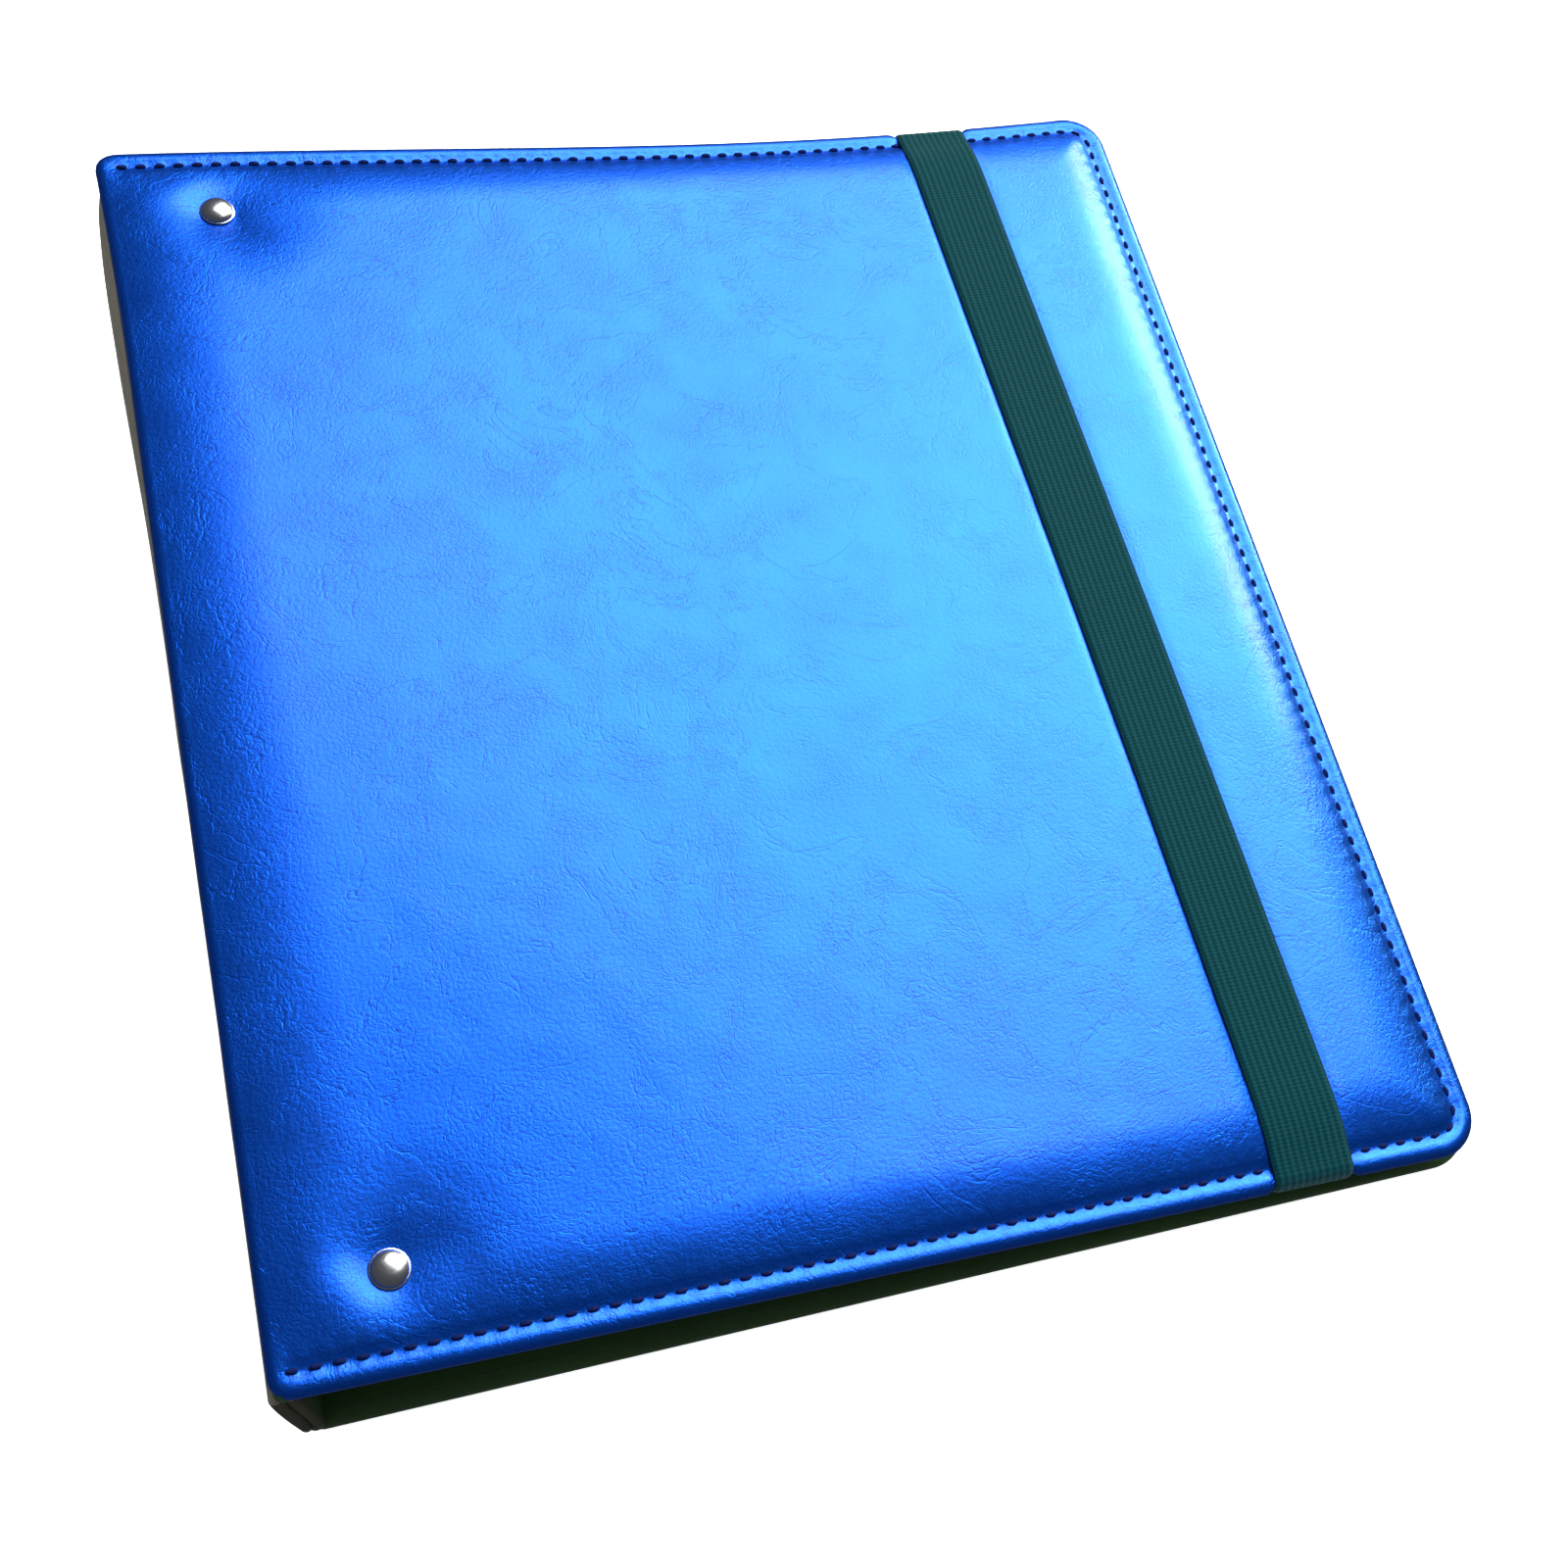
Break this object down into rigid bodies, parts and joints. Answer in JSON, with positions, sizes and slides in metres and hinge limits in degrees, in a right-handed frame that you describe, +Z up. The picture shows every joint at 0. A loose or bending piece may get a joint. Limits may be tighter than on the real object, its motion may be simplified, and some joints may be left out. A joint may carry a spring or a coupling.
{
  "type": "trading card binder",
  "caption": "Padded, stitched leathercloth ring binder for pocketed card pages, with riveted D rings, hinged covers and an elastic strap.",
  "frame": {"origin": "middle of the footprint, on the surface that the lower cover lies on", "axes": "+Z up; +X from the spine to the fore edge; +Y along the spine towards the head"},
  "size_m": [0.2768, 0.3146, 0.0564],
  "materials": {
    "cover_leather": "glossy padded blue polyurethane leathercloth with a fine creased grain",
    "spine_leather": "satin taupe polyurethane leathercloth",
    "foam": "soft polyurethane foam sheet",
    "board": "grey bookbinder's board",
    "lining": "matte green-black leathercloth lining",
    "thread": "dark navy polyester sewing thread",
    "ring_metal": "bright nickel-plated steel",
    "plain_steel": "zinc-plated spring steel",
    "strap_web": "dark teal ribbed woven elastic",
    "page_sheet": "black polypropylene centre sheet",
    "pocket_film": "clear polypropylene pocket film"
  },
  "bodies": {
    "lower_cover": {"lower_skin": "cover_leather", "lower_foam": "foam", "lower_board": "board", "lower_lining": "lining", "lower_stitching": "thread"},
    "spine": {"spine_skin": "spine_leather", "spine_foam": "foam", "spine_board": "board", "spine_lining": "lining", "upper_hinge_fold": "spine_leather", "lower_hinge_fold": "spine_leather"},
    "upper_cover": {"upper_skin": "cover_leather", "upper_foam": "foam", "upper_board": "board", "upper_lining": "lining", "upper_stitching": "thread", "ring_housing": "ring_metal", "head_lever_pin": "plain_steel", "tail_lever_pin": "plain_steel", "head_rivet": "ring_metal", "tail_rivet": "ring_metal", "head_collar": "plain_steel", "tail_collar": "plain_steel", "head_strap_end": "strap_web", "tail_strap_end": "strap_web", "page_1": "page_sheet", "page_2": "page_sheet", "page_3": "page_sheet", "page_pockets_1": "pocket_film", "page_pockets_2": "pocket_film", "page_pockets_3": "pocket_film"},
    "turned_pages": {"page_4": "page_sheet", "page_5": "page_sheet", "page_6": "page_sheet", "page_pockets_4": "pocket_film", "page_pockets_5": "pocket_film", "page_pockets_6": "pocket_film"},
    "straight_rings": {"straight_blade": "plain_steel", "straight_ring_1": "ring_metal", "straight_ring_2": "ring_metal", "straight_ring_3": "ring_metal"},
    "curved_rings": {"curved_blade": "plain_steel", "curved_ring_1": "ring_metal", "curved_ring_2": "ring_metal", "curved_ring_3": "ring_metal"},
    "head_lever": {"head_lever": "ring_metal"},
    "tail_lever": {"tail_lever": "ring_metal"},
    "strap": {"elastic_strap": "strap_web"}
  },
  "joints": [
    {"name": "spine_fold", "type": "hinge", "parent": "lower_cover", "child": "spine", "pos_m": [-0.1351, 0, 0.005], "axis": [0, -1, 0], "range_deg": [0, 90]},
    {"name": "cover_open", "type": "hinge", "parent": "spine", "child": "upper_cover", "pos_m": [-0.1351, 0, 0.052], "axis": [0, -1, 0], "range_deg": [0, 97.78]},
    {"name": "page_turn", "type": "hinge", "parent": "upper_cover", "child": "turned_pages", "pos_m": [-0.11571, 0, 0.02765], "axis": [0, 1, 0], "range_deg": [0, 187.4]},
    {"name": "ring_open", "type": "hinge", "parent": "upper_cover", "child": "straight_rings", "pos_m": [-0.10367, 0, 0.04196], "axis": [0, -1, 0], "range_deg": [0, 8]},
    {"name": "curved_ring_open", "type": "hinge", "parent": "upper_cover", "child": "curved_rings", "pos_m": [-0.1215, 0, 0.04439], "axis": [0, 1, 0], "range_deg": [0, 8]},
    {"name": "head_lever_press", "type": "hinge", "parent": "upper_cover", "child": "head_lever", "pos_m": [-0.11283, 0.144, 0.04139], "axis": [0.9908, 0, -0.1353], "range_deg": [0, 28]},
    {"name": "tail_lever_press", "type": "hinge", "parent": "upper_cover", "child": "tail_lever", "pos_m": [-0.11283, -0.144, 0.04139], "axis": [-0.9908, 0, 0.1353], "range_deg": [0, 28]},
    {"name": "strap_stretch", "type": "slide", "parent": "upper_cover", "child": "strap", "axis": [0.9908, 0, -0.1353], "range_m": [0, 0.06], "stiffness_N_per_m": 60}
  ],
  "couplings": [
    {"joint": "spine_fold", "follows": "cover_open", "ratio": 0.92042},
    {"joint": "page_turn", "follows": "cover_open", "ratio": 1.9165},
    {"joint": "curved_ring_open", "follows": "ring_open", "ratio": 1},
    {"joint": "head_lever_press", "follows": "ring_open", "ratio": 3.5},
    {"joint": "tail_lever_press", "follows": "ring_open", "ratio": 3.5}
  ]
}
